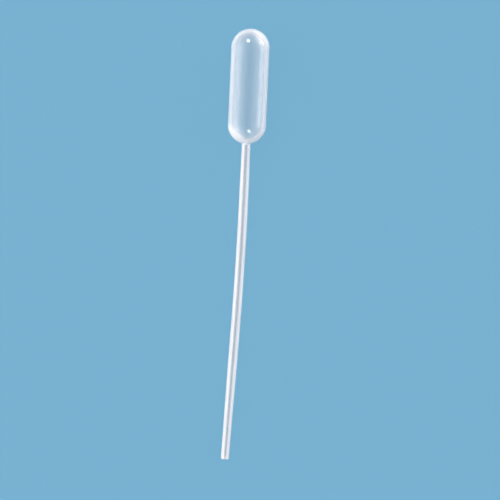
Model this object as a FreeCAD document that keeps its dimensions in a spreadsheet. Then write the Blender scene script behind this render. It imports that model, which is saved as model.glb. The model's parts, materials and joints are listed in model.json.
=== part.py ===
import FreeCAD, Part
import math
import os

import Sketcher

# A transfer pipette: a long squeeze bulb with two round ends and a slender stem, blown as one
# piece of soft clear plastic. It lies on a level surface as it comes to rest there, on the
# round of the bulb by the neck and on the tip. The stem's slight bend lies level too.
#
# Row frame: the bulb points towards +Y and the tip towards -Y, +Z is up, and the origin is
# the middle of the bottom of the bounding box.
#
# Body frame, in which the wall is drawn: the origin is the centre of the round end that the
# stem leaves, +Y runs up the bulb's axis, and the stem bends in the XY plane, towards -X.

# Driving dimensions, in millimetres and degrees.
SIZES = [
    ("bulb_diameter", 13.3, "outside of the squeeze bulb"),
    ("bulb_length", 40.0, "closed end to neck, with both round ends"),
    ("bulb_wall", 0.4, "wall of the squeeze bulb"),
    ("neck_diameter", 2.95, "outside of the stem where it leaves the bulb"),
    ("neck_bore", 1.8, "bore where it leaves the bulb"),
    ("neck_length", 14.5, "straight stretch from the bulb to the bend"),
    ("neck_fillet", 0.5, "hollow round between bulb and stem, outside"),
    ("mouth_round", 0.2, "round on the edge where the bulb opens into the bore"),
    ("stem_diameter", 3.2, "outside of the stem"),
    ("stem_bore", 1.4, "bore of the stem"),
    ("bend_length", 52.0, "bent stretch of the stem, along its middle"),
    ("bend_angle", 2.1, "turn of the bent stretch, in degrees"),
    ("run_length", 10.5, "straight stretch between the bend and the taper"),
    ("taper_length", 26.0, "stretch that narrows to the tip"),
    ("tip_length", 7.0, "parallel stretch at the tip"),
    ("tip_diameter", 2.8, "outside of the tip"),
    ("tip_bore", 1.1, "bore of the tip"),
    ("tip_round", 0.12, "round on the tip's outer edge"),
]

# Worked out from the driving dimensions, each from the ones above it.
DERIVED = [
    ("bulb_radius", "sizes.bulb_diameter / 2"),
    ("crown_height", "sizes.bulb_length - sizes.bulb_diameter"),
    ("bend_start", "derived.bulb_radius + sizes.neck_length"),
    ("bend_radius", "sizes.bend_length / sizes.bend_angle * 180 / pi"),
    ("bend_end_x", "-derived.bend_radius * (1 - cos(sizes.bend_angle))"),
    ("bend_end_y", "-derived.bend_start - derived.bend_radius * sin(sizes.bend_angle)"),
    ("tail_length", "sizes.run_length + sizes.taper_length + sizes.tip_length"),
    ("tip_y", "derived.bend_end_y - derived.tail_length * cos(sizes.bend_angle)"),
    # The round on the tip's edge is a ring of this radius, this far down the bulb's axis.
    ("edge_radius", "sizes.tip_diameter / 2 - sizes.tip_round"),
    ("edge_y", "derived.tip_y + sizes.tip_round * cos(sizes.bend_angle)"),
    # Bulb and tip touch the same level surface when the bulb's axis is tilted by lie_angle.
    ("touch_rise", "derived.bulb_radius - sizes.tip_round"),
    ("lie_angle", "asin(derived.touch_rise / hypot(derived.edge_y; derived.edge_radius))"
                  " - atan(derived.edge_radius / -derived.edge_y)"),
    ("crown_reach", "derived.crown_height * cos(derived.lie_angle) + derived.bulb_radius"),
    ("edge_slant", "sqrt(1 - (cos(sizes.bend_angle) * cos(derived.lie_angle)) ^ 2)"),
    ("tip_reach", "-derived.edge_y * cos(derived.lie_angle)"
                  " + derived.edge_radius * derived.edge_slant + sizes.tip_round"),
    ("neck_y", "(derived.tip_reach - derived.crown_reach) / 2"),
]
ANGLES = ["lie_angle"]

# Sketcher's names for the points of an edge and for a sketch's own axes and origin.
START, END, CENTRE = 1, 2, 3
H_AXIS, V_AXIS = -1, -2
ORIGIN = (-1, 1)


def make_sheet(doc):
    """The spreadsheet of driving dimensions: name, value and what it is."""
    sheet = doc.addObject("Spreadsheet::Sheet", "sizes")
    for row, (name, value, meaning) in enumerate(SIZES, start=1):
        sheet.set(f"A{row}", name)
        sheet.set(f"B{row}", str(value))
        sheet.setAlias(f"B{row}", name)
        sheet.set(f"C{row}", meaning)
    return sheet


def make_derived(doc):
    """The values that follow from the sheet, kept live by expressions."""
    derived = doc.addObject("App::VarSet", "derived")
    for name, expression in DERIVED:
        kind = "App::PropertyAngle" if name in ANGLES else "App::PropertyFloat"
        derived.addProperty(kind, name, "Derived")
        derived.setExpression(name, expression)
        doc.recompute()
    return derived


def origin_plane(body, role):
    return next(f for f in body.Origin.OriginFeatures if f.Role == role)


def new_sketch(body, name, plane, offset):
    """An empty sketch on one of the body's origin planes, moved by a bound offset."""
    sketch = body.newObject("Sketcher::SketchObject", name)
    sketch.AttachmentSupport = (origin_plane(body, plane), [""])
    sketch.MapMode = "FlatFace"
    if offset:
        sketch.setExpression("AttachmentOffset", offset)
    return sketch


def line(x0, y0, x1, y1):
    """A straight edge, with the ends at which an outline enters and leaves it."""
    edge = Part.LineSegment(FreeCAD.Vector(x0, y0, 0), FreeCAD.Vector(x1, y1, 0))
    return edge, START, END


def arc(x, y, radius, first, last):
    """A round edge from angle first to angle last, in degrees, either way round."""
    circle = Part.Circle(FreeCAD.Vector(x, y, 0), FreeCAD.Vector(0, 0, 1), radius)
    low, high = sorted((math.radians(first), math.radians(last)))
    edge = Part.ArcOfCircle(circle, low, high)
    return (edge, START, END) if first < last else (edge, END, START)


def draw_outline(sketch, edges, smooth):
    """Add a closed chain of named edges; those in smooth run on tangentially into the next."""
    number = {}
    for name, (edge, _, _) in edges.items():
        number[name] = sketch.addGeometry(edge, False)
    names = list(edges)
    for name, following in zip(names, names[1:] + names[:1]):
        joint = "Tangent" if name in smooth else "Coincident"
        leave, enter = edges[name][2], edges[following][1]
        sketch.addConstraint(
            Sketcher.Constraint(joint, number[name], leave, number[following], enter)
        )
    return number


def constrain(sketch, kind, *where):
    sketch.addConstraint(Sketcher.Constraint(kind, *where))


def dimension(sketch, name, expression, kind, *where):
    """A named dimension bound to an expression; it starts at the drawn size."""
    value = sketch.evalExpression(expression)
    index = sketch.addConstraint(Sketcher.Constraint(kind, *where, float(value)))
    sketch.renameConstraint(index, name)
    sketch.setExpression(f"Constraints.{name}", expression)


def revolve(body, name, sketch, axis, angle, backwards=False):
    """Turn a sketch about an axis of its own: a bound angle, or a whole turn if it is None."""
    feature = body.newObject("PartDesign::Revolution", name)
    feature.Profile = sketch
    feature.ReferenceAxis = (sketch, [axis])
    feature.Reversed = backwards
    if angle:
        feature.setExpression("Angle", angle)
    else:
        feature.Angle = 360
    sketch.Visibility = False
    return feature


def bulb_and_neck(body, size, derived):
    """The bulb with its two round ends and the straight stretch of stem below it."""
    sketch = new_sketch(body, "bulb_section", "XY_Plane", None)
    outer, inner = derived.bulb_radius, derived.bulb_radius - size("bulb_wall")
    crown, end = derived.crown_height, -derived.bend_start
    neck, stem = size("neck_diameter") / 2, size("stem_diameter") / 2
    opening, bore = size("neck_bore") / 2, size("stem_bore") / 2
    hollow, mouth = size("neck_fillet"), size("mouth_round")
    # Where the two rounds at the neck have their centres, and where they touch the domes.
    hollow_y = -math.sqrt((outer + hollow) ** 2 - (neck + hollow) ** 2)
    mouth_y = -math.sqrt((inner + mouth) ** 2 - (opening + mouth) ** 2)
    hollow_angle = math.degrees(math.atan2(hollow_y, neck + hollow))
    mouth_angle = math.degrees(math.atan2(mouth_y, opening + mouth))
    edges = {
        "crown": arc(0, crown, outer, 90, 0),
        "side": line(outer, crown, outer, 0),
        "dome": arc(0, 0, outer, 0, hollow_angle),
        "hollow": arc(neck + hollow, hollow_y, hollow, 180 + hollow_angle, 180),
        "neck": line(neck, hollow_y, stem, end),
        "neck_end": line(stem, end, bore, end),
        "bore": line(bore, end, opening, mouth_y),
        "mouth": arc(opening + mouth, mouth_y, mouth, 180, 180 + mouth_angle),
        "inner_dome": arc(0, 0, inner, mouth_angle, 0),
        "inner_side": line(inner, 0, inner, crown),
        "inner_crown": arc(0, crown, inner, 0, 90),
        "crown_wall": line(0, crown + inner, 0, crown + outer),
    }
    smooth = ["crown", "side", "dome", "hollow", "bore", "mouth", "inner_dome", "inner_side"]
    g = draw_outline(sketch, edges, smooth)
    constrain(sketch, "Coincident", g["dome"], CENTRE, *ORIGIN)
    constrain(sketch, "Coincident", g["inner_dome"], CENTRE, *ORIGIN)
    constrain(sketch, "PointOnObject", g["crown"], CENTRE, V_AXIS)
    constrain(sketch, "Coincident", g["inner_crown"], CENTRE, g["crown"], CENTRE)
    constrain(sketch, "Equal", g["crown"], g["dome"])
    constrain(sketch, "Equal", g["inner_crown"], g["inner_dome"])
    constrain(sketch, "PointOnObject", g["crown_wall"], START, V_AXIS)
    constrain(sketch, "PointOnObject", g["crown_wall"], END, V_AXIS)
    constrain(sketch, "Horizontal", g["neck_end"])
    # Points on the neck's side and on its bore, level with the bulb's lowest point, set the
    # two diameters there.
    gauges = {}
    for edge, x in (("neck", neck), ("bore", opening)):
        gauges[edge] = sketch.addGeometry(Part.Point(FreeCAD.Vector(x, -outer, 0)), True)
        constrain(sketch, "PointOnObject", gauges[edge], START, g[edge])
    dimension(sketch, "bulb_radius", "derived.bulb_radius", "Radius", g["dome"])
    dimension(sketch, "inner_radius", "derived.bulb_radius - sizes.bulb_wall",
              "Radius", g["inner_dome"])
    dimension(sketch, "crown_height", "derived.crown_height",
              "DistanceY", *ORIGIN, g["crown"], CENTRE)
    dimension(sketch, "neck_fillet", "sizes.neck_fillet", "Radius", g["hollow"])
    dimension(sketch, "mouth_round", "sizes.mouth_round", "Radius", g["mouth"])
    dimension(sketch, "neck_radius", "sizes.neck_diameter / 2",
              "DistanceX", *ORIGIN, gauges["neck"], START)
    dimension(sketch, "neck_level", "derived.bulb_radius",
              "DistanceY", gauges["neck"], START, *ORIGIN)
    dimension(sketch, "opening_radius", "sizes.neck_bore / 2",
              "DistanceX", *ORIGIN, gauges["bore"], START)
    dimension(sketch, "opening_level", "derived.bulb_radius",
              "DistanceY", gauges["bore"], START, *ORIGIN)
    dimension(sketch, "stem_radius", "sizes.stem_diameter / 2",
              "DistanceX", *ORIGIN, g["neck_end"], START)
    dimension(sketch, "bore_radius", "sizes.stem_bore / 2",
              "DistanceX", *ORIGIN, g["neck_end"], END)
    dimension(sketch, "bend_start", "derived.bend_start",
              "DistanceY", g["neck_end"], START, *ORIGIN)
    return revolve(body, "bulb", sketch, "V_Axis", None)


def bend(body, size, derived):
    """The slightly bent stretch: the stem's ring turned about a far axis."""
    offset = "placement(vector(0; 0; derived.bend_start); rotation(0; 0; 0))"
    sketch = new_sketch(body, "bend_section", "XZ_Plane", offset)
    for name in ("stem_diameter", "stem_bore"):
        circle = Part.Circle(FreeCAD.Vector(), FreeCAD.Vector(0, 0, 1), size(name) / 2)
        ring = sketch.addGeometry(circle, False)
        constrain(sketch, "Coincident", ring, CENTRE, *ORIGIN)
        dimension(sketch, name, f"sizes.{name}", "Diameter", ring)
    far, height = -derived.bend_radius, size("stem_diameter")
    axis = sketch.addGeometry(line(far, 0, far, height)[0], True)
    constrain(sketch, "PointOnObject", axis, START, H_AXIS)
    constrain(sketch, "Vertical", axis)
    dimension(sketch, "bend_radius", "derived.bend_radius", "DistanceX", axis, START, *ORIGIN)
    dimension(sketch, "axis_height", "sizes.stem_diameter", "Distance", axis)
    return revolve(body, "bend", sketch, "Axis0", "sizes.bend_angle", backwards=True)


def tail(body, size, derived):
    """The straight stretch below the bend: a plain run, a taper and the parallel tip."""
    offset = ("placement(vector(derived.bend_end_x; derived.bend_end_y; 0);"
              " rotation(vector(0; 0; 1); -sizes.bend_angle))")
    sketch = new_sketch(body, "tail_section", "XY_Plane", offset)
    stem, bore = size("stem_diameter") / 2, size("stem_bore") / 2
    tip, tip_bore = size("tip_diameter") / 2, size("tip_bore") / 2
    edge, length = size("tip_round"), derived.tail_length
    taper_start = -size("run_length")
    taper_end = size("tip_length") - length
    edges = {
        "top": line(bore, 0, stem, 0),
        "run": line(stem, 0, stem, taper_start),
        "taper": line(stem, taper_start, tip, taper_end),
        "tip": line(tip, taper_end, tip, edge - length),
        "edge": arc(tip - edge, edge - length, edge, 0, -90),
        "tip_end": line(tip - edge, -length, tip_bore, -length),
        "tip_bore": line(tip_bore, -length, tip_bore, taper_end),
        "bore_taper": line(tip_bore, taper_end, bore, taper_start),
        "bore_run": line(bore, taper_start, bore, 0),
    }
    g = draw_outline(sketch, edges, smooth=["tip", "edge"])
    for name in ("run", "tip", "tip_bore", "bore_run"):
        constrain(sketch, "Vertical", g[name])
    for name in ("top", "tip_end"):
        constrain(sketch, "Horizontal", g[name])
    constrain(sketch, "PointOnObject", g["top"], START, H_AXIS)
    constrain(sketch, "Horizontal", g["run"], END, g["bore_taper"], END)
    constrain(sketch, "Horizontal", g["taper"], END, g["bore_taper"], START)
    dimension(sketch, "bore_radius", "sizes.stem_bore / 2",
              "DistanceX", *ORIGIN, g["top"], START)
    dimension(sketch, "stem_radius", "sizes.stem_diameter / 2",
              "DistanceX", *ORIGIN, g["top"], END)
    dimension(sketch, "run_length", "sizes.run_length", "DistanceY", g["run"], END, *ORIGIN)
    dimension(sketch, "taper_length", "sizes.taper_length",
              "DistanceY", g["taper"], END, g["run"], END)
    dimension(sketch, "tip_length", "sizes.tip_length",
              "DistanceY", g["tip_end"], START, g["taper"], END)
    dimension(sketch, "tip_radius", "sizes.tip_diameter / 2",
              "DistanceX", *ORIGIN, g["tip"], START)
    dimension(sketch, "tip_bore_radius", "sizes.tip_bore / 2",
              "DistanceX", *ORIGIN, g["tip_bore"], START)
    dimension(sketch, "tip_round", "sizes.tip_round", "Radius", g["edge"])
    return revolve(body, "tail", sketch, "V_Axis", None)


def make_pipette(doc, size, derived):
    """The one moulded piece, laid down on bulb and tip."""
    body = doc.addObject("PartDesign::Body", "pipette")
    body.Label = "pipette"
    for stretch in (bulb_and_neck, bend, tail):
        stretch(body, size, derived)
        doc.recompute()
    body.setExpression(
        "Placement",
        "placement(vector(0; derived.neck_y; derived.bulb_radius);"
        " rotation(vector(1; 0; 0); derived.lie_angle))",
    )
    return body


def check_document(doc, parts):
    """Stop before anything is written if a feature failed or a shape isn't sound."""
    for item in doc.Objects:
        if "Invalid" in item.State or "Error" in item.State:
            raise RuntimeError(f"{item.Name} failed: {item.State}")
        if item.TypeId == "Sketcher::SketchObject" and not item.FullyConstrained:
            raise RuntimeError(f"{item.Name} isn't fully constrained")
    for part in parts:
        shape = part.Shape
        if shape.isNull() or not shape.isValid() or len(shape.Solids) != 1:
            raise RuntimeError(f"{part.Label} isn't one sound solid")


def main():
    doc = FreeCAD.newDocument("transfer_pipette")
    sheet = make_sheet(doc)
    doc.recompute()
    derived = make_derived(doc)
    parts = [make_pipette(doc, lambda name: float(sheet.get(name)), derived)]
    doc.recompute()
    check_document(doc, parts)
    os.makedirs("parts", exist_ok=True)
    for part in parts:
        part.Shape.exportStep(f"parts/{part.Label}.step")
        box = part.Shape.BoundBox
        print(f"{part.Label}: {box.XLength:.2f} x {box.YLength:.2f} x {box.ZLength:.2f} mm,"
              f" {part.Shape.Volume:.1f} mm3")


main()
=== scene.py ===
import bmesh
import bpy
import json
import math
from mathutils import Matrix, Vector


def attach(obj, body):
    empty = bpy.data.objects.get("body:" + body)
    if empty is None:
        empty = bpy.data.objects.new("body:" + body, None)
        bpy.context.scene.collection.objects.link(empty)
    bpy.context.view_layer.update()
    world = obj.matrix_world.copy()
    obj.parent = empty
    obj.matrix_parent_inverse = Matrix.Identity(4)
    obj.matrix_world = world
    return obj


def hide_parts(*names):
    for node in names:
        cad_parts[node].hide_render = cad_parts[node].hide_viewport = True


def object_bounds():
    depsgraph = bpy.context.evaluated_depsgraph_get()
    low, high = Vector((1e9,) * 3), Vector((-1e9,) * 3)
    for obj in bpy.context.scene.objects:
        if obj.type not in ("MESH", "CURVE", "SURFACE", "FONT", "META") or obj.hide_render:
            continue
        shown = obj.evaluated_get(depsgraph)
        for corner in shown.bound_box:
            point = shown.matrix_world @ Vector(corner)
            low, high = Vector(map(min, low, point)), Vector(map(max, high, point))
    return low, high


# A dropper pipette of soft clear plastic, blown in one piece: a long round-ended squeeze bulb on
# a slender stem with a slight bend. Its wall is one closed skin, the outer face and the inner
# face joined round the open tip, with the real wall's thickness between them.

MM = 0.001

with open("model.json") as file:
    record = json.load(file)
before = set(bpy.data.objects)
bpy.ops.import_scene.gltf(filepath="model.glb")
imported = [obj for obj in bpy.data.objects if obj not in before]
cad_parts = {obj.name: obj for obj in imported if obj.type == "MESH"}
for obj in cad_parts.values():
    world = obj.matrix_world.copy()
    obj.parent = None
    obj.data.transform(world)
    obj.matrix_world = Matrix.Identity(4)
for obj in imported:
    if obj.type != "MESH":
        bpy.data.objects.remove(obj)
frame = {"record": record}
cad_low, cad_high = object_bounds()

# ---------------------------------------------------------------- sizes the record gives

mounts = {m["name"]: m for m in frame["record"]["mounts"]}
BULB_RADIUS = mounts["bulb_side"]["dims"]["r_mm"] * MM
BULB_STRAIGHT = mounts["bulb_side"]["dims"]["length_mm"] * MM
BULB_AXIS = Vector(mounts["bulb_side"]["axis"])
BULB_MIDDLE = Vector(mounts["bulb_side"]["pos_m"])
TIP_RADIUS = mounts["tip_outside"]["dims"]["r_mm"] * MM
TIP_BORE = mounts["tip_bore"]["dims"]["r_mm"] * MM
TIP_LENGTH = mounts["tip_bore"]["dims"]["length_mm"] * MM

# ---------------------------------------------------------------- the other sizes, in metres

BULB_WALL = 0.40 * MM
NECK_RADIUS = 1.475 * MM         # outside of the stem just under the bulb
NECK_LENGTH = 14.5 * MM          # straight stretch from the bulb to the bend
NECK_HOLLOW = 0.5 * MM           # hollow round between bulb and stem
MOUTH_ROUND = 0.2 * MM           # round on the edge where the bulb opens into the bore
STEM_RADIUS = 1.60 * MM
NECK_BORE = 0.90 * MM            # the bore's radius where it leaves the bulb
STEM_BORE = 0.70 * MM            # and from the bend on
BEND_LENGTH = 52.0 * MM
BEND_ANGLE = math.radians(2.1)
RUN_LENGTH = 10.5 * MM
TAPER_LENGTH = 26.0 * MM
TIP_ROUND = 0.12 * MM            # rounds on the tip's flat end

BEND_START = BULB_RADIUS + NECK_LENGTH
BEND_RADIUS = BEND_LENGTH / BEND_ANGLE
DOME = BULB_MIDDLE - BULB_AXIS * (BULB_STRAIGHT / 2)         # centre of the dome by the neck
NECK = DOME - BULB_AXIS * BULB_RADIUS                        # where the stem leaves the bulb

# ---------------------------------------------------------------- steps of the mesh

FACETS = 128                     # round the bulb and the stem
DOME_STEPS = 24                  # down each dome
SIDE_STEPS = 24                  # along the bulb's straight side
HOLLOW_STEPS = 8                 # round the hollow at the neck, and the mouth of the bore inside
NECK_STEPS = 16
BEND_STEPS = 26
RUN_STEPS = 5
TAPER_STEPS = 13
TIP_STEPS = 4
ROUND_STEPS = 5                  # round each edge of the tip's flat end
SEAM_GAP = 1e-7                  # metres: points as near as this are one, on each face
RIM_GAP = 1e-6                   # and at the tip, where the outer and the inner face meet

# ---------------------------------------------------------------- the wall


def turn(bm, point, centre, angle, steps):
    """Carry the end of a drawn line round an arc in the XZ plane; gives the line's new end."""
    swept = bmesh.ops.spin(bm, geom=[point], cent=centre, axis=(0, 1, 0), angle=angle,
                           steps=steps)
    return next(v for v in swept["geom_last"] if isinstance(v, bmesh.types.BMVert))


def draw(bm, point, end, steps):
    """Carry the end of a drawn line straight on in even steps; gives the line's new end."""
    step = (Vector(end) - point.co) / steps
    for _ in range(steps):
        point = bmesh.ops.extrude_vert_indiv(bm, verts=[point])["verts"][0]
        bmesh.ops.translate(bm, verts=[point], vec=step)
    return point


def face_down_to_bend(radius, side, hollow, end):
    """One face of the wall from the bulb's pole to the bend, upright, its axis along Z."""
    bm = bmesh.new()
    point = bmesh.ops.create_vert(bm, co=(0, 0, BULB_STRAIGHT + radius))["vert"][0]
    point = turn(bm, point, (0, 0, BULB_STRAIGHT), math.pi / 2, DOME_STEPS)
    point = draw(bm, point, (radius, 0, 0), SIDE_STEPS)
    # Where the round at the neck has its centre, and how far down the dome it begins.
    across = side + hollow
    down = math.sqrt((radius + hollow) ** 2 - across ** 2)
    lean = math.atan2(down, across)
    point = turn(bm, point, (0, 0, 0), lean, DOME_STEPS)
    point = turn(bm, point, (across, 0, -down), -lean, HOLLOW_STEPS)
    draw(bm, point, (end, 0, -BEND_START), NECK_STEPS)
    bmesh.ops.spin(bm, geom=bm.verts[:] + bm.edges[:], cent=(0, 0, 0), axis=(0, 0, 1),
                   angle=2 * math.pi, steps=FACETS, use_merge=True)
    bmesh.ops.remove_doubles(bm, verts=bm.verts[:], dist=SEAM_GAP)
    return bm


def open_ring(bm):
    """The edges round the face's open end."""
    return [e for e in bm.edges if len(e.link_faces) == 1]


def stretch(bm, along, length, scale, steps):
    """Carry the open end straight on, its ring growing or shrinking evenly to scale."""
    size = 1.0
    for i in range(steps):
        ring = bmesh.ops.extrude_edge_only(bm, edges=open_ring(bm))["geom"]
        verts = [g for g in ring if isinstance(g, bmesh.types.BMVert)]
        bmesh.ops.translate(bm, verts=verts, vec=along * (length / steps))
        middle = sum((v.co for v in verts), Vector()) / len(verts)
        wanted = 1 + (scale - 1) * (i + 1) / steps
        bmesh.ops.scale(bm, verts=verts, vec=(wanted / size,) * 3,
                        space=Matrix.Translation(-middle))
        size = wanted


def carry_to_tip(bm, tip_scale):
    """The bend, the plain run, the taper and the parallel tip, ending in an open ring."""
    ring = open_ring(bm)
    verts = list(dict.fromkeys(v for e in ring for v in e.verts))
    bmesh.ops.spin(bm, geom=verts + ring, cent=(-BEND_RADIUS, 0, -BEND_START),
                   axis=(0, 1, 0), angle=BEND_ANGLE, steps=BEND_STEPS)
    along = Vector((-math.sin(BEND_ANGLE), 0, -math.cos(BEND_ANGLE)))
    stretch(bm, along, RUN_LENGTH, 1.0, RUN_STEPS)
    stretch(bm, along, TAPER_LENGTH, tip_scale, TAPER_STEPS)
    stretch(bm, along, TIP_LENGTH, 1.0, TIP_STEPS)


def pipette_wall():
    """The whole pipette as one closed skin."""
    outer = face_down_to_bend(BULB_RADIUS, NECK_RADIUS, NECK_HOLLOW, STEM_RADIUS)
    carry_to_tip(outer, TIP_RADIUS / STEM_RADIUS)
    inner = face_down_to_bend(BULB_RADIUS - BULB_WALL, NECK_BORE, MOUTH_ROUND, STEM_BORE)
    carry_to_tip(inner, TIP_BORE / STEM_BORE)
    for bm, value in ((outer, 0.0), (inner, 1.0)):
        layer = bm.verts.layers.float.new("inside")
        for vert in bm.verts:
            vert[layer] = value
    inside = bpy.data.meshes.new("inside")
    inner.to_mesh(inside)
    inner.free()
    # The tip's flat end runs in from the outer face's ring to the inner one's, where they merge.
    rim = open_ring(outer)
    flat_end = bmesh.ops.extrude_edge_only(outer, edges=rim)["geom"]
    verts = [g for g in flat_end if isinstance(g, bmesh.types.BMVert)]
    middle = sum((v.co for v in verts), Vector()) / len(verts)
    bmesh.ops.scale(outer, verts=verts, vec=(TIP_BORE / TIP_RADIUS,) * 3,
                    space=Matrix.Translation(-middle))
    outer.from_mesh(inside)
    bmesh.ops.remove_doubles(outer, verts=outer.verts[:], dist=RIM_GAP)
    bmesh.ops.bevel(outer, geom=[e for e in rim if e.is_valid], offset=TIP_ROUND,
                    segments=ROUND_STEPS, profile=0.5, affect="EDGES", material=-1)
    bmesh.ops.recalc_face_normals(outer, faces=outer.faces[:])
    for face in outer.faces:
        face.smooth = True
    place = (Matrix.Translation(DOME)
             @ Vector((0, 0, 1)).rotation_difference(BULB_AXIS).to_matrix().to_4x4())
    bmesh.ops.transform(outer, matrix=place, verts=outer.verts[:])
    # The skin fills the CAD solid's box and stays in it.
    low = Vector(map(min, *(v.co for v in outer.verts)))
    high = Vector(map(max, *(v.co for v in outer.verts)))
    room, own = cad_high - cad_low, high - low
    bmesh.ops.translate(outer, verts=outer.verts[:], vec=-(low + high) / 2)
    fit = [min(r / o, 1.0) for r, o in zip(room, own)]
    bmesh.ops.scale(outer, verts=outer.verts[:], vec=fit)
    bmesh.ops.translate(outer, verts=outer.verts[:], vec=(cad_low + cad_high) / 2)
    mesh = bpy.data.meshes.new("pipette_wall")
    outer.to_mesh(mesh)
    outer.free()
    piece = bpy.data.objects.new("pipette_wall", mesh)
    bpy.context.scene.collection.objects.link(piece)
    return piece


# ---------------------------------------------------------------- materials


def new_material(name):
    """A material with its nodes, its links and its surface shader."""
    material = bpy.data.materials.new(name)
    material.use_nodes = True
    nodes, links = material.node_tree.nodes, material.node_tree.links
    return material, nodes, links, nodes["Principled BSDF"]


# How milky the plastic is, from the slant it is seen at: 0 is straight on and 1 is edge on.
BULB_MILK = ((0.0, 0.022), (0.1, 0.03), (0.2, 0.05), (0.34, 0.21), (0.48, 0.49), (0.6, 0.57),
             (0.8, 0.59), (1.0, 0.59))
STEM_MILK = ((0.0, 0.08), (0.02, 0.13), (0.06, 0.48), (0.12, 0.59), (0.4, 0.50), (0.7, 0.47),
             (1.0, 0.47))
BORE_MILK = 0.14                 # the stem's bore, at every slant
# Milk that the bulb's ends have besides. It comes in between the two places in END_STRETCH, which
# are counted from where the bulb's straight side stops, and between the two slants in END_SLANT.
END_MILK = 0.24                  # at the closed end
NECK_END_MILK = 0.20             # at the end by the neck
END_STRETCH = (-1.0 * MM, 4.5 * MM)
END_SLANT = (0.34, 0.55)
END_LEAST = 0.1                  # the share of it that is there straight on
ENDS_PART = 0.1                  # of the straight side, each way from where the two ends part
# Milk painted on two opposite shoulders besides that: painted light, standing in for the brighter
# light that falls on them.
SHOULDER_PAINTED_LIGHT = 0.55
SHOULDER_ASIDE = 0.62            # of the bulb's radius: so far to the side it is all there
SHOULDER_SLANT = (0.10, 0.36)
NECK_STRETCH = (0.3 * MM, -0.6 * MM)      # from NECK: the bulb's finish turns into the stem's

# The clear streak down the stem.
# Painted light: the shift makes the milk whiter on the stem's left side, where the light falls
# from the left.
PAINTED_LIGHT_SHIFT = (0.07, 0.21)        # of the stem's radius, towards +X: down the stem, at the neck
STREAK_FLARE = 0.30              # slants count so much less at the neck, so it is wider there
FLARE_STRETCH = (-30 * MM, -4 * MM)       # from NECK: where it shifts and widens

PLASTIC_IOR = 1.51
PLASTIC_TINT = (1.0, 0.985, 0.988, 1)
# Painted shade: the stem's bore is greyer, for the dimmer light that reaches it.
BORE_PAINTED_SHADE = (0.80, 0.79, 0.79, 1)
OUTSIDE_ROUGH = 0.08
INSIDE_ROUGH = 0.16
SHADE_TINT = (0.985, 0.985, 0.985, 1)     # of the light that passes through to the floor

# Unevenness: grains a metre, how tight they are along the pipette (1 is round), and detail.
CLOUDS = (190, 0.7, 3)
STREAKS = (2200, 0.03, 3)
SATIN = (2600, 0.6, 4)
NOISE_SPREAD = (0.3, 0.7)        # the noise between these is spread from -1 to 1
CLOUD_HAZE = 0.10
STREAK_HAZE = 0.14
SATIN_ROUGH = 0.02
CLOUD_RELIEF = 0.4
STREAK_RELIEF = 0.06
RELIEF_STRENGTH = 0.5
RELIEF_DEPTH = 0.02 * MM


def set_ramp(ramp, stops):
    """Grey stops, each a place and a level."""
    while len(ramp.elements) < len(stops):
        ramp.elements.new(0.5)
    for element, (place, level) in zip(ramp.elements, stops):
        element.position = place
        element.color = (level, level, level, 1)


def feed(links, socket, value):
    """Set a socket to a number, or link it to another socket."""
    if isinstance(value, bpy.types.NodeSocket):
        links.new(value, socket)
    else:
        socket.default_value = value


def work_out(nodes, links, operation, first, second=0.5, clamp=False):
    """One operation on one value or two."""
    node = nodes.new("ShaderNodeMath")
    node.operation = operation
    node.use_clamp = clamp
    feed(links, node.inputs[0], first)
    feed(links, node.inputs[1], second)
    return node.outputs[0]


def step_between(nodes, links, value, start, end, low=0.0, high=1.0):
    """Low where value is start, high where it is end, and a smooth step between them."""
    node = nodes.new("ShaderNodeMapRange")
    node.interpolation_type = "SMOOTHSTEP"
    feed(links, node.inputs["Value"], value)
    for name, number in (("From Min", start), ("From Max", end), ("To Min", low),
                         ("To Max", high)):
        node.inputs[name].default_value = number
    return node.outputs[0]


def blend_values(nodes, links, factor, first, second):
    """First where factor is 0, second where it is 1."""
    node = nodes.new("ShaderNodeMix")
    node.data_type = "FLOAT"
    feed(links, node.inputs[0], factor)
    feed(links, node.inputs[2], first)
    feed(links, node.inputs[3], second)
    return node.outputs[0]


def grain(nodes, links, place, scale, squeeze, detail):
    """Noise from -1 to 1 of so many grains a metre, drawn out along the pipette where squeeze is
    under 1."""
    mapping = nodes.new("ShaderNodeMapping")
    mapping.inputs["Scale"].default_value = (1, squeeze, 1)
    links.new(place, mapping.inputs["Vector"])
    noise = nodes.new("ShaderNodeTexNoise")
    noise.inputs["Scale"].default_value = scale
    noise.inputs["Detail"].default_value = detail
    links.new(mapping.outputs[0], noise.inputs["Vector"])
    spread = nodes.new("ShaderNodeMapRange")
    spread.inputs["From Min"].default_value = NOISE_SPREAD[0]
    spread.inputs["From Max"].default_value = NOISE_SPREAD[1]
    spread.inputs["To Min"].default_value = -1.0
    spread.inputs["To Max"].default_value = 1.0
    links.new(noise.outputs["Fac"], spread.inputs["Value"])
    return spread.outputs[0]


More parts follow.
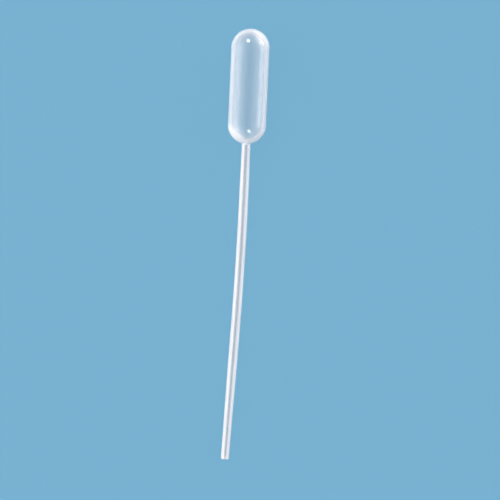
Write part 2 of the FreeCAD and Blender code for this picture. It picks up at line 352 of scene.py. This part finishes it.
def clear_plastic():
    """Soft clear plastic: it lets light through, with a milky haze that deepens where the wall is
    seen at a slant, in the bulb's ends and down the stem. Painted light makes two shoulders and
    the stem's left side milkier, and painted shade makes the bore greyer."""
    material, nodes, links, surface = new_material("soft_clear_plastic")
    surface.inputs["IOR"].default_value = PLASTIC_IOR
    texture = nodes.new("ShaderNodeTexCoord")
    place = texture.outputs["Object"]
    axes = nodes.new("ShaderNodeSeparateXYZ")
    links.new(place, axes.inputs[0])
    attribute = nodes.new("ShaderNodeAttribute")
    attribute.attribute_name = "inside"
    inside = attribute.outputs["Fac"]
    in_stem = step_between(nodes, links, axes.outputs["Y"], NECK.y + NECK_STRETCH[0],
                           NECK.y + NECK_STRETCH[1])
    along = work_out(nodes, links, "SUBTRACT", axes.outputs["Y"], BULB_MIDDLE.y)
    from_middle = work_out(nodes, links, "ABSOLUTE", along)
    at_end = step_between(nodes, links, from_middle, BULB_STRAIGHT / 2 + END_STRETCH[0],
                          BULB_STRAIGHT / 2 + END_STRETCH[1])

    # Two opposite shoulders, +X at the closed end and -X by the neck, are painted milkier: painted
    # light, standing in for the brighter light that falls on these two shoulders.
    skew = work_out(nodes, links, "MULTIPLY", axes.outputs["X"],
                    work_out(nodes, links, "SIGN", along))
    shoulder_light_amount = work_out(nodes, links, "MULTIPLY", at_end,
                           step_between(nodes, links, skew, 0.0, SHOULDER_ASIDE * BULB_RADIUS,
                                        0.0, SHOULDER_PAINTED_LIGHT))

    clouds = grain(nodes, links, place, *CLOUDS)
    streaks = grain(nodes, links, place, *STREAKS)
    satin = grain(nodes, links, place, *SATIN)

    # The clear streak down the stem leans to one side: painted light, which makes the milk whiter
    # on the stem's left side, where the light falls from the left, and more so by the neck. It is
    # wider by the neck, as the bore is.
    near_neck = step_between(nodes, links, axes.outputs["Y"], NECK.y + FLARE_STRETCH[0],
                             NECK.y + FLARE_STRETCH[1])
    slant, stem_slant = (nodes.new("ShaderNodeLayerWeight") for _ in range(2))
    shift = nodes.new("ShaderNodeCombineXYZ")
    links.new(blend_values(nodes, links, near_neck, -PAINTED_LIGHT_SHIFT[0], -PAINTED_LIGHT_SHIFT[1]),
              shift.inputs["X"])
    shifted = nodes.new("ShaderNodeVectorMath")
    shifted.operation = "ADD"
    links.new(shift.outputs[0], shifted.inputs[1])
    links.new(texture.outputs["Normal"], shifted.inputs[0])
    links.new(shifted.outputs[0], stem_slant.inputs["Normal"])
    off_streak = work_out(nodes, links, "MULTIPLY", stem_slant.outputs["Facing"],
                          blend_values(nodes, links, near_neck, 1.0, 1.0 - STREAK_FLARE))
    milk = []
    for place_in_ramp, stops in ((slant.outputs["Facing"], BULB_MILK), (off_streak, STEM_MILK)):
        ramp = nodes.new("ShaderNodeValToRGB")
        set_ramp(ramp.color_ramp, stops)
        links.new(place_in_ramp, ramp.inputs[0])
        milk.append(ramp.outputs["Color"])
    which_end = step_between(nodes, links, along, -ENDS_PART * BULB_STRAIGHT,
                             ENDS_PART * BULB_STRAIGHT, NECK_END_MILK, END_MILK)
    end_slant = step_between(nodes, links, slant.outputs["Facing"], END_SLANT[0], END_SLANT[1],
                             END_LEAST)
    end_milk = work_out(nodes, links, "MULTIPLY", at_end,
                        work_out(nodes, links, "MULTIPLY", which_end, end_slant))
    # Painted light on the two shoulders, deepening with the slant.
    painted_shoulder_light = work_out(nodes, links, "MULTIPLY", shoulder_light_amount,
                        step_between(nodes, links, slant.outputs["Facing"], SHOULDER_SLANT[0],
                                     SHOULDER_SLANT[1]))
    bulb = work_out(nodes, links, "ADD", work_out(nodes, links, "ADD", milk[0], end_milk),
                    painted_shoulder_light)
    stem = blend_values(nodes, links, inside, milk[1], BORE_MILK)
    plain = blend_values(nodes, links, in_stem, bulb, stem)
    mottle = work_out(nodes, links, "MULTIPLY", clouds, CLOUD_HAZE)
    drawn = work_out(nodes, links, "MULTIPLY", streaks, STREAK_HAZE)
    uneven = work_out(nodes, links, "ADD", 1.0, blend_values(nodes, links, in_stem, mottle, drawn))
    haze = work_out(nodes, links, "MULTIPLY", plain, uneven, clamp=True)
    links.new(work_out(nodes, links, "SUBTRACT", 1.0, haze), surface.inputs["Transmission Weight"])

    # The stem's bore is painted greyer than the outside, as painted shade for the dimmer light
    # inside it, and the whole inner face is duller.
    tint_with_bore_shade = nodes.new("ShaderNodeMix")
    tint_with_bore_shade.data_type = "RGBA"
    tint_with_bore_shade.inputs[6].default_value = PLASTIC_TINT
    tint_with_bore_shade.inputs[7].default_value = BORE_PAINTED_SHADE
    links.new(work_out(nodes, links, "MULTIPLY", in_stem, inside), tint_with_bore_shade.inputs[0])
    links.new(tint_with_bore_shade.outputs[2], surface.inputs["Base Color"])

    dull = blend_values(nodes, links, inside, OUTSIDE_ROUGH, INSIDE_ROUGH)
    rough = work_out(nodes, links, "ADD", dull,
                     work_out(nodes, links, "MULTIPLY", satin, SATIN_ROUGH))
    links.new(rough, surface.inputs["Roughness"])
    relief = work_out(nodes, links, "ADD",
                      work_out(nodes, links, "MULTIPLY", clouds, CLOUD_RELIEF),
                      work_out(nodes, links, "MULTIPLY", streaks, STREAK_RELIEF))
    bump = nodes.new("ShaderNodeBump")
    bump.inputs["Strength"].default_value = RELIEF_STRENGTH
    bump.inputs["Distance"].default_value = RELIEF_DEPTH
    links.new(relief, bump.inputs["Height"])
    links.new(bump.outputs[0], surface.inputs["Normal"])

    # The light that falls through on to the floor goes straight on.
    path = nodes.new("ShaderNodeLightPath")
    lit = work_out(nodes, links, "MAXIMUM", path.outputs["Is Shadow Ray"],
                   path.outputs["Is Diffuse Ray"])
    open_way = nodes.new("ShaderNodeBsdfTransparent")
    open_way.inputs["Color"].default_value = SHADE_TINT
    both = nodes.new("ShaderNodeMixShader")
    links.new(lit, both.inputs[0])
    links.new(surface.outputs[0], both.inputs[1])
    links.new(open_way.outputs[0], both.inputs[2])
    links.new(both.outputs[0], nodes["Material Output"].inputs["Surface"])
    return material


def pale_floor():
    """Plain pale blue, with no shine."""
    material, _, _, surface = new_material("pale_floor")
    surface.inputs["Base Color"].default_value = FLOOR_COLOUR
    surface.inputs["Roughness"].default_value = 1.0
    surface.inputs["Specular IOR Level"].default_value = 0.0
    return material


# ---------------------------------------------------------------- the studio

FLOOR_COLOUR = (0.18, 0.44, 0.64, 1)
FLOOR_HALF = 4.0                 # metres from the middle to each side
BACKDROP = (0.191, 0.443, 0.640, 1)       # the floor's colour as it is lit

# A height says how far a direction rises, from 0 level to 1 straight up. An azimuth is in degrees
# from +X towards +Y.
LIGHT_TINT = (1, 0.925, 0.915, 1)
ROOM_HEIGHTS = (0.5, 1.0)        # the room grows brighter between these
ROOM_LEVELS = (0.23, 0.36)
LOW_BAND = (0.20, 0.08)          # under this the room fades into the floor's colour
# Each glow: azimuth, where it starts (0 at right angles to that, 1 at its middle), radiance.
GLOWS = (
    (192, 0.05, 1.96),
    (90, 0.5, 0.1),
    (0, 0.1, 0.2))
# Each softbox: azimuth, half width, softness of its sides, top, softness of its top, radiance.
SOFTBOXES = (
    (12, 0.38, 0.03, 0.49, 0.01, 1.8),
    (40, 0.42, 0.16, 0.60, 0.10, 1.8))
LAMP_ACROSS = 11.5               # degrees
LAMP_ENERGY = 0.80
LAMP_PLACE = Vector((-0.235, 0.579, 0.780))         # the direction it shines from

CAMERA_LEAN = math.radians(2.584)         # it is turned so that the bulb leans to the right
CAMERA_HEIGHT = 0.90             # metres above the centre of the dome by the neck
CAMERA_REACH = (0.01, 20)        # nearest and furthest that it sees, in metres
SENSOR_WIDTH = 36.0
VIEW_WIDTH = 173.45 * MM         # at that centre's height
AIM_RIGHT = 1.0490 * MM          # from that centre, as the camera sees it
AIM_DOWN = 43.3937 * MM


def lay_floor():
    """The level floor that the pipette lies on."""
    bm = bmesh.new()
    bmesh.ops.create_grid(bm, x_segments=1, y_segments=1, size=FLOOR_HALF)
    mesh = bpy.data.meshes.new("floor")
    bm.to_mesh(mesh)
    bm.free()
    floor = bpy.data.objects.new("floor", mesh)
    bpy.context.scene.collection.objects.link(floor)
    mesh.materials.append(pale_floor())


def light_room():
    """Soft studio light from far off, so that the floor is evenly lit: a pale room, a broad glow
    from the left and faint ones from behind and from the right, two softboxes low on the right,
    and one small lamp high up."""
    world = bpy.data.worlds.new("studio")
    bpy.context.scene.world = world
    world.use_nodes = True
    nodes, links = world.node_tree.nodes, world.node_tree.links
    way = nodes.new("ShaderNodeTexCoord").outputs["Generated"]
    axes = nodes.new("ShaderNodeSeparateXYZ")
    links.new(way, axes.inputs[0])
    up = axes.outputs["Z"]

    def toward(azimuth):
        """1 in that direction, 0 at right angles to it, and -1 away from it."""
        node = nodes.new("ShaderNodeVectorMath")
        node.operation = "DOT_PRODUCT"
        around = math.radians(azimuth)
        node.inputs[1].default_value = (math.cos(around), math.sin(around), 0)
        links.new(way, node.inputs[0])
        return node.outputs["Value"]

    low = step_between(nodes, links, up, *LOW_BAND)
    level = work_out(nodes, links, "MULTIPLY",
                     step_between(nodes, links, up, *ROOM_HEIGHTS, *ROOM_LEVELS),
                     work_out(nodes, links, "SUBTRACT", 1.0, low))
    for azimuth, start, radiance in GLOWS:
        glow = step_between(nodes, links, toward(azimuth), start, 1.0, 0.0, radiance)
        level = work_out(nodes, links, "ADD", level, glow)
    for azimuth, half_width, soft, top, fade, radiance in SOFTBOXES:
        aside = work_out(nodes, links, "ABSOLUTE", toward(azimuth + 90))
        pane = step_between(nodes, links, aside, half_width + soft, half_width - soft, 0.0,
                            radiance)
        pane = work_out(nodes, links, "MULTIPLY", pane,
                        work_out(nodes, links, "GREATER_THAN", toward(azimuth), 0.0))
        pane = work_out(nodes, links, "MULTIPLY", pane,
                        step_between(nodes, links, up, top + fade, top - fade))
        level = work_out(nodes, links, "ADD", level, pane)
    # Beyond the floor lies its own colour, which is all that the camera itself sees there.
    seen = nodes.new("ShaderNodeLightPath").outputs["Is Camera Ray"]
    unseen = work_out(nodes, links, "SUBTRACT", 1.0, seen)
    lights = nodes["Background"]
    lights.inputs["Color"].default_value = LIGHT_TINT
    links.new(work_out(nodes, links, "MULTIPLY", unseen, level), lights.inputs["Strength"])
    beyond = nodes.new("ShaderNodeBackground")
    beyond.inputs["Color"].default_value = BACKDROP
    links.new(work_out(nodes, links, "MAXIMUM", seen, low), beyond.inputs["Strength"])
    both = nodes.new("ShaderNodeAddShader")
    links.new(lights.outputs[0], both.inputs[0])
    links.new(beyond.outputs[0], both.inputs[1])
    links.new(both.outputs[0], nodes["World Output"].inputs["Surface"])

    data = bpy.data.lights.new("small_lamp", "SUN")
    data.angle = math.radians(LAMP_ACROSS)
    data.energy = LAMP_ENERGY
    lamp = bpy.data.objects.new("small_lamp", data)
    lamp.rotation_euler = LAMP_PLACE.to_track_quat("Z", "Y").to_euler()
    bpy.context.scene.collection.objects.link(lamp)


def set_camera():
    """Straight above the pipette and far back."""
    right = Vector((math.cos(CAMERA_LEAN), math.sin(CAMERA_LEAN), 0))
    up = Vector((-math.sin(CAMERA_LEAN), math.cos(CAMERA_LEAN), 0))
    aim = DOME + right * AIM_RIGHT - up * AIM_DOWN
    data = bpy.data.cameras.new("camera")
    data.sensor_width = SENSOR_WIDTH
    data.lens = SENSOR_WIDTH * CAMERA_HEIGHT / VIEW_WIDTH
    data.clip_start, data.clip_end = CAMERA_REACH
    camera = bpy.data.objects.new("camera", data)
    camera.matrix_world = Matrix((
        (right.x, up.x, 0, aim.x),
        (right.y, up.y, 0, aim.y),
        (0, 0, 1, aim.z + CAMERA_HEIGHT),
        (0, 0, 0, 1)))
    bpy.context.scene.collection.objects.link(camera)
    bpy.context.scene.camera = camera


bpy.context.scene.view_settings.view_transform = "Standard"
pipette = pipette_wall()
pipette.data.materials.append(clear_plastic())
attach(pipette, "root")
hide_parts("pipette")
lay_floor()
light_room()
set_camera()
